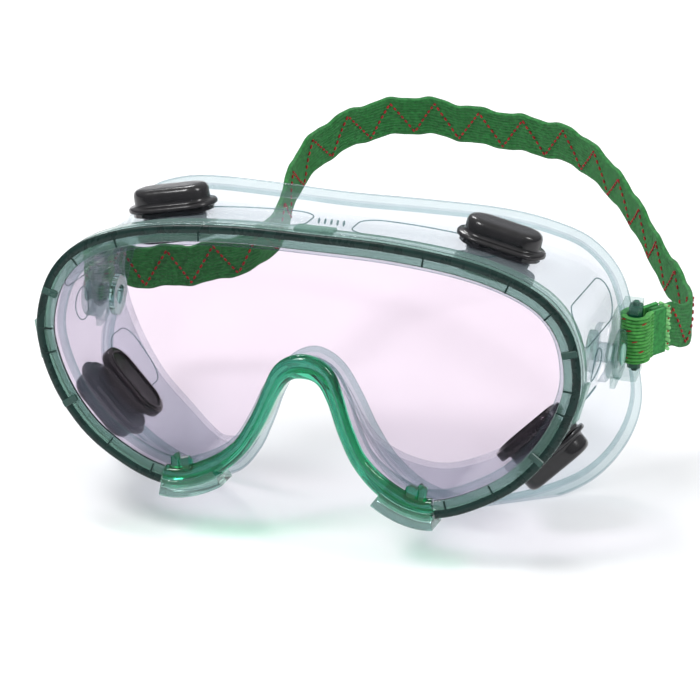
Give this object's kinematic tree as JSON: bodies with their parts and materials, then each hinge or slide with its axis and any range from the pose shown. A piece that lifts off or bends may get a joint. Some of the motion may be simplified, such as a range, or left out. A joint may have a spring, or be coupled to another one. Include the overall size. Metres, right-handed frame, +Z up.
{
  "type": "safety goggles",
  "caption": "Splash goggles: soft clear wide body, flat lens in a pale green snap ring, deep green nose bridge, black vent caps and a green elastic strap on hinged clips.",
  "frame": {"origin": "middle of the whole part's footprint, on the table that the cheek rim stands on", "axes": "+X to the right-hand end as seen from the front, +Y from the lens towards the wearer's head, +Z up; the lens leans back 10 degrees about X"},
  "size_m": [0.1888, 0.1766, 0.0986],
  "materials": {
    "clear_vinyl": "soft clear moulded vinyl, slightly blue-green at its edges",
    "lens_sheet": "clear polished polycarbonate sheet",
    "pale_green": "translucent pale green moulded plastic",
    "deep_green": "translucent deep green moulded plastic",
    "clear_hard": "hard clear plastic with a faint green tint",
    "dark_green": "dark green moulded plastic",
    "vent_black": "satin black plastic",
    "elastic": "ribbed woven elastic with a red zigzag thread"
  },
  "bodies": {
    "mask": {"face_frame": "clear_vinyl", "vent_seat_top_right": "vent_black", "vent_retainer_top_right": "vent_black", "vent_seat_low_right": "vent_black", "vent_retainer_low_right": "vent_black", "vent_seat_top_left": "vent_black", "vent_retainer_top_left": "vent_black", "vent_seat_low_left": "vent_black", "vent_retainer_low_left": "vent_black", "hub_button_left": "clear_hard", "hub_button_right": "clear_hard", "hub_washer_left": "pale_green", "hub_washer_right": "pale_green"},
    "lens_set": {"lens": "lens_sheet", "lens_ring": "pale_green", "nose_bridge": "deep_green", "ring_clip_left": "pale_green", "ring_clip_right": "pale_green"},
    "strap_set": {"strap": "elastic", "strap_loop_left": "elastic", "strap_loop_right": "elastic", "strap_bar_left": "dark_green", "strap_bar_right": "dark_green", "strap_clip_left": "clear_hard", "strap_clip_right": "clear_hard"},
    "vent_cap_top_right_body": {"vent_cap_top_right": "vent_black"},
    "vent_cap_low_right_body": {"vent_cap_low_right": "vent_black"},
    "vent_cap_top_left_body": {"vent_cap_top_left": "vent_black"},
    "vent_cap_low_left_body": {"vent_cap_low_left": "vent_black"}
  },
  "joints": [
    {"name": "strap_swing", "type": "hinge", "parent": "mask", "child": "strap_set", "pos_m": [-0.00421, -0.02417, 0.04938], "axis": [1, 0, 0], "range_deg": [-25, 50]},
    {"name": "lens_release", "type": "slide", "parent": "mask", "child": "lens_set", "axis": [0, -0.9848, 0.1736], "range_m": [0, 0.03]},
    {"name": "vent_top_right_pull", "type": "slide", "parent": "mask", "child": "vent_cap_top_right_body", "axis": [0.2091, 0.1698, 0.963], "range_m": [0, 0.012]},
    {"name": "vent_low_right_pull", "type": "slide", "parent": "mask", "child": "vent_cap_low_right_body", "axis": [0.7174, -0.121, -0.686], "range_m": [0, 0.012]},
    {"name": "vent_top_left_pull", "type": "slide", "parent": "mask", "child": "vent_cap_top_left_body", "axis": [-0.2091, 0.1698, 0.963], "range_m": [0, 0.012]},
    {"name": "vent_low_left_pull", "type": "slide", "parent": "mask", "child": "vent_cap_low_left_body", "axis": [-0.7174, -0.121, -0.686], "range_m": [0, 0.012]}
  ]
}
